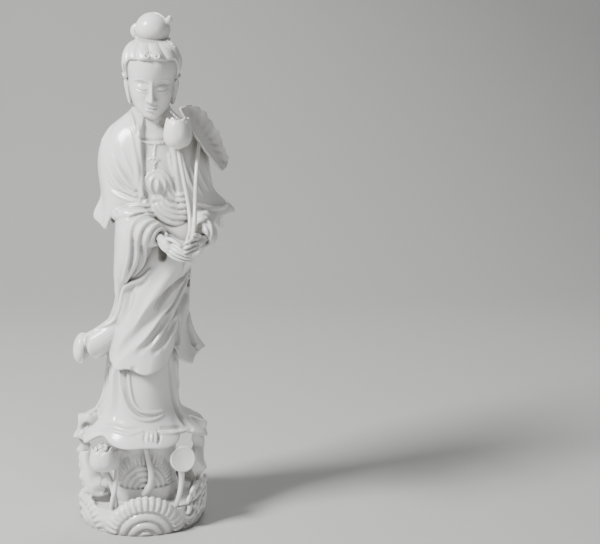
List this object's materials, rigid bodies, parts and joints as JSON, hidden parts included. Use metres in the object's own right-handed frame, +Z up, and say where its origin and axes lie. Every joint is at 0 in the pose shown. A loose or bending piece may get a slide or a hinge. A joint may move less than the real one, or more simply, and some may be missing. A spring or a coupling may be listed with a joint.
{
  "type": "guanyin figure",
  "caption": "Standing robed guanyin in white porcelain on a round wave plinth, holding a loose spray of lotus bud and folded leaf.",
  "frame": {"origin": "centre of the plinth's underside, on the surface that it stands on", "axes": "+Z up; the figure faces -Y, so its left hand is towards +X"},
  "size_m": [0.1462, 0.1411, 0.4599],
  "materials": {
    "white_porcelain": null,
    "ivory_porcelain": "glazed porcelain, slightly warmer than the figure"
  },
  "bodies": {
    "root": {"guanyin_on_wave_plinth": "white_porcelain", "lotus_spray": "ivory_porcelain"}
  },
  "joints": []
}
